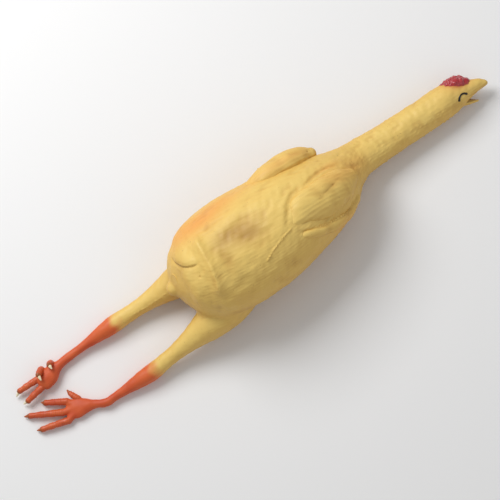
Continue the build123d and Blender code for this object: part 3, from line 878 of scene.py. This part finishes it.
def make_eyelid(side, body, black):
    """The closed lid's line, painted thick over the cheek."""
    flat = smooth_rows([(x, 0.0, z) for x, z in EYE], 0.5)
    outward = head_axes()[1] * SIDES[side]
    line = body.cast(from_head(flat) + outward * 40, -outward)
    shares = np.linspace(0, 1, len(line))
    thick = 0.85 + 0.3 * np.abs(2 * shares - 1) ** 2
    shape = tube(np.column_stack((line, thick, thick, np.zeros(len(line)))), step=0.35, ring=16)
    paint = np.broadcast_to(linear("#15100c"), shape[0].shape)
    piece = tube_piece(side + "_eyelid_line", shape, paint, black)
    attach(piece, "head")
    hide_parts(side + "_eyelid")


# ------------------------------------------------------------------------------------------------- toes

def make_toe(side, toe, points, latex, horn):
    """A fleshy toe with knuckles and its claw."""
    root, tip, point = (np.array(place) for place in points)
    radii = REAR_TOE_RADII if toe == "rear" else TOE_RADII
    length = np.linalg.norm(tip - root)
    rise = np.array((0, 0, 0.7 if side == "right" else 0.9))
    stations = [(*root, radii[0], radii[0], 0.0),
                (*(root * 0.66 + tip * 0.34 + rise), radii[1], radii[1], 0.0),
                (*(root * 0.33 + tip * 0.67 + rise), radii[1] * 0.94, radii[1] * 0.9, 0.0),
                (*tip, radii[2], radii[2], 0.0)]
    skin = fused([tube(stations, step=0.5, ring=32)], 0.42)
    skin.smooth(5)
    reach = (skin.points - root) @ unit(tip - root)
    knuckles = np.cos(reach / length * 6 * math.pi)
    creases = -np.exp(-((reach / 1.9) % 1.0 - 0.5) ** 2 / 0.02)
    on_toe = ease((reach - 3) / 3)
    skin.lift(on_toe * (0.16 * knuckles + 0.10 * creases) + 0.10 * ripple(skin.points, 3.0, 61))
    skin.points[:, 2] = np.maximum(skin.points[:, 2], 0.05)
    paint = skin_paint(skin.points, skin.normals())
    paint = blend_paint(paint, 0.75 * ease((reach - length + 1.0) / 2.4), BROWN)
    # Painted shade in the knuckle creases.
    paint = blend_paint(paint, 0.3 * ease(-creases * 2 - 0.9), BROWN)
    name = side + "_" + toe
    piece = whole_piece(name + "_toe_latex", skin, paint, latex)
    bend(piece)
    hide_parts(name + "_toe")
    ahead = unit(point - tip)
    claw = [(*(tip - ahead * 1.0), 1.8, 1.6, 0.0),
            (*(tip * 0.45 + point * 0.55 + (0, 0, 0.4)), 1.4, 1.25, 0.0),
            (*point, 0.7, 0.6, 0.0)]
    shape = tube(claw, step=0.3, ring=24)
    share = ease(((shape[0] - tip) @ ahead) / np.linalg.norm(point - tip))
    base = CREAM if side == "left" else "#c8643a"
    paint = blend_paint(np.broadcast_to(linear(base), shape[0].shape).copy(), 0.5 * share,
                        "#fff6de" if side == "left" else BROWN)
    nail = tube_piece(name + "_claw_latex", shape, paint, horn)
    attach(nail, name + "_toe")
    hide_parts(name + "_claw")


def make_plug(body, latex):
    """The glued plug that closes the filling hole in the rump: a low disc with a rounded rim."""
    out = unit(PLUG_DIRECTION)
    place = body.cast([PLUG_CENTRE + out * 60], -out)[0]
    across = unit(np.cross(out, (0, 0, 1)))
    up = np.cross(across, out)
    turns = np.linspace(0, 2 * math.pi, 64, endpoint=False)
    rings = [(6.0, -2.0), (6.0, -0.4), (5.85, 0.0), (5.5, 0.2), (5.0, 0.22), (4.6, 0.12), (3.0, 0.18),
             (1.2, 0.22)]                        # radius, height above the skin
    points = np.vstack([place + out * rise + np.outer(np.cos(turns), across) * radius
                        + np.outer(np.sin(turns), up) * radius for radius, rise in rings])
    faces = [(row * 64 + column, row * 64 + (column + 1) % 64, (row + 1) * 64 + (column + 1) % 64,
              (row + 1) * 64 + column) for row in range(len(rings) - 1) for column in range(64)]
    faces += [tuple(range((len(rings) - 1) * 64, len(rings) * 64)), tuple(range(63, -1, -1))]
    normals = np.broadcast_to(out, points.shape)
    piece = tube_piece("rump_plug_latex", (points, faces), skin_paint(points, normals), latex)
    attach(piece, "torso")
    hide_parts("rump_plug")


# ------------------------------------------------------------------------------------------------- stage

CAMERA_TILT = 12.23                              # degrees off straight down, towards the bird's right
CAMERA_ROLL = 34.6                               # degrees that the bird's length climbs across the picture
CAMERA_DISTANCE = 1.98
CAMERA_LENS = 150.0
CAMERA_TARGET = (-0.0046, -0.0007, 0.0)


def camera_axes():
    """Right, up and back of the camera in the row frame."""
    tilt, roll = math.radians(CAMERA_TILT), math.radians(CAMERA_ROLL)
    back = Vector((0, -math.sin(tilt), math.cos(tilt)))
    level = Vector((1, 0, 0))
    rise = back.cross(level)
    right = level * math.cos(roll) - rise * math.sin(roll)
    up = level * math.sin(roll) + rise * math.cos(roll)
    return right, up, back


def make_camera():
    right, up, back = camera_axes()
    data = bpy.data.cameras.new("camera")
    data.lens = CAMERA_LENS
    camera = bpy.data.objects.new("camera", data)
    camera.location = Vector(CAMERA_TARGET) + back * CAMERA_DISTANCE
    camera.rotation_euler = Matrix((right, up, back)).transposed().to_euler()
    bpy.context.scene.collection.objects.link(camera)
    bpy.context.scene.camera = camera


def make_light(name, sideways, upwards, backwards, size, power, colour=(1, 1, 1)):
    """Square soft light, placed in metres along the camera's axes and aimed at the object."""
    right, up, back = camera_axes()
    data = bpy.data.lights.new(name, "AREA")
    data.size = size
    data.energy = power
    data.color = colour
    lamp = bpy.data.objects.new(name, data)
    lamp.location = right * sideways + up * upwards + back * backwards
    lamp.rotation_euler = lamp.location.to_track_quat("Z", "Y").to_euler()
    bpy.context.scene.collection.objects.link(lamp)


def make_stage():
    half = 3.0
    corners = [(-half, -half, 0), (half, -half, 0), (half, half, 0), (-half, half, 0)]
    mesh = bpy.data.meshes.new("floor")
    mesh.from_pydata(corners, [], [(0, 1, 2, 3)])
    floor = bpy.data.objects.new("floor", mesh)
    bpy.context.scene.collection.objects.link(floor)
    material = bpy.data.materials.new("floor_paper")
    material.use_nodes = True
    shader = material.node_tree.nodes["Principled BSDF"]
    shader.inputs["Base Color"].default_value = (0.9, 0.9, 0.9, 1)
    shader.inputs["Roughness"].default_value = 0.9
    mesh.materials.append(material)
    world = bpy.data.worlds.new("studio")
    world.use_nodes = True
    world.node_tree.nodes["Background"].inputs["Color"].default_value = (1, 1, 1, 1)
    world.node_tree.nodes["Background"].inputs["Strength"].default_value = 0.36
    bpy.context.scene.world = world
    bpy.context.scene.view_settings.view_transform = "Standard"
    make_light("key", -0.8, 0.8, 0.85, 0.8, 14.5)
    make_light("fill", 0.9, -0.3, 1.1, 1.2, 2.0)


def main():
    make_camera()
    make_stage()
    latex = painted("latex_skin")
    foot_latex = painted("latex_feet", roughness=0.42, gloss=0.45, mottle=0.3, lines=0.2)
    crimson = painted("latex_comb", roughness=0.3, gloss=0.6, mottle=0.3, grain=0.2, lines=0.1, coat=0.5)
    black = painted("eyelid_paint", roughness=0.35, gloss=0.5, mottle=0.1, grain=0.2, lines=0.0)
    horn = painted("claw_paint", roughness=0.35, gloss=0.5, mottle=0.2, grain=0.15, lines=0.1)
    body = make_body(latex)
    body.settle()
    for side in SIDES:
        make_wing(side, latex)
        make_eyelid(side, body, black)
        for toe, points in TOES[side].items():
            make_toe(side, toe, points, foot_latex, horn)
    make_comb(crimson)
    make_jaw(latex)
    make_plug(body, latex)


main()
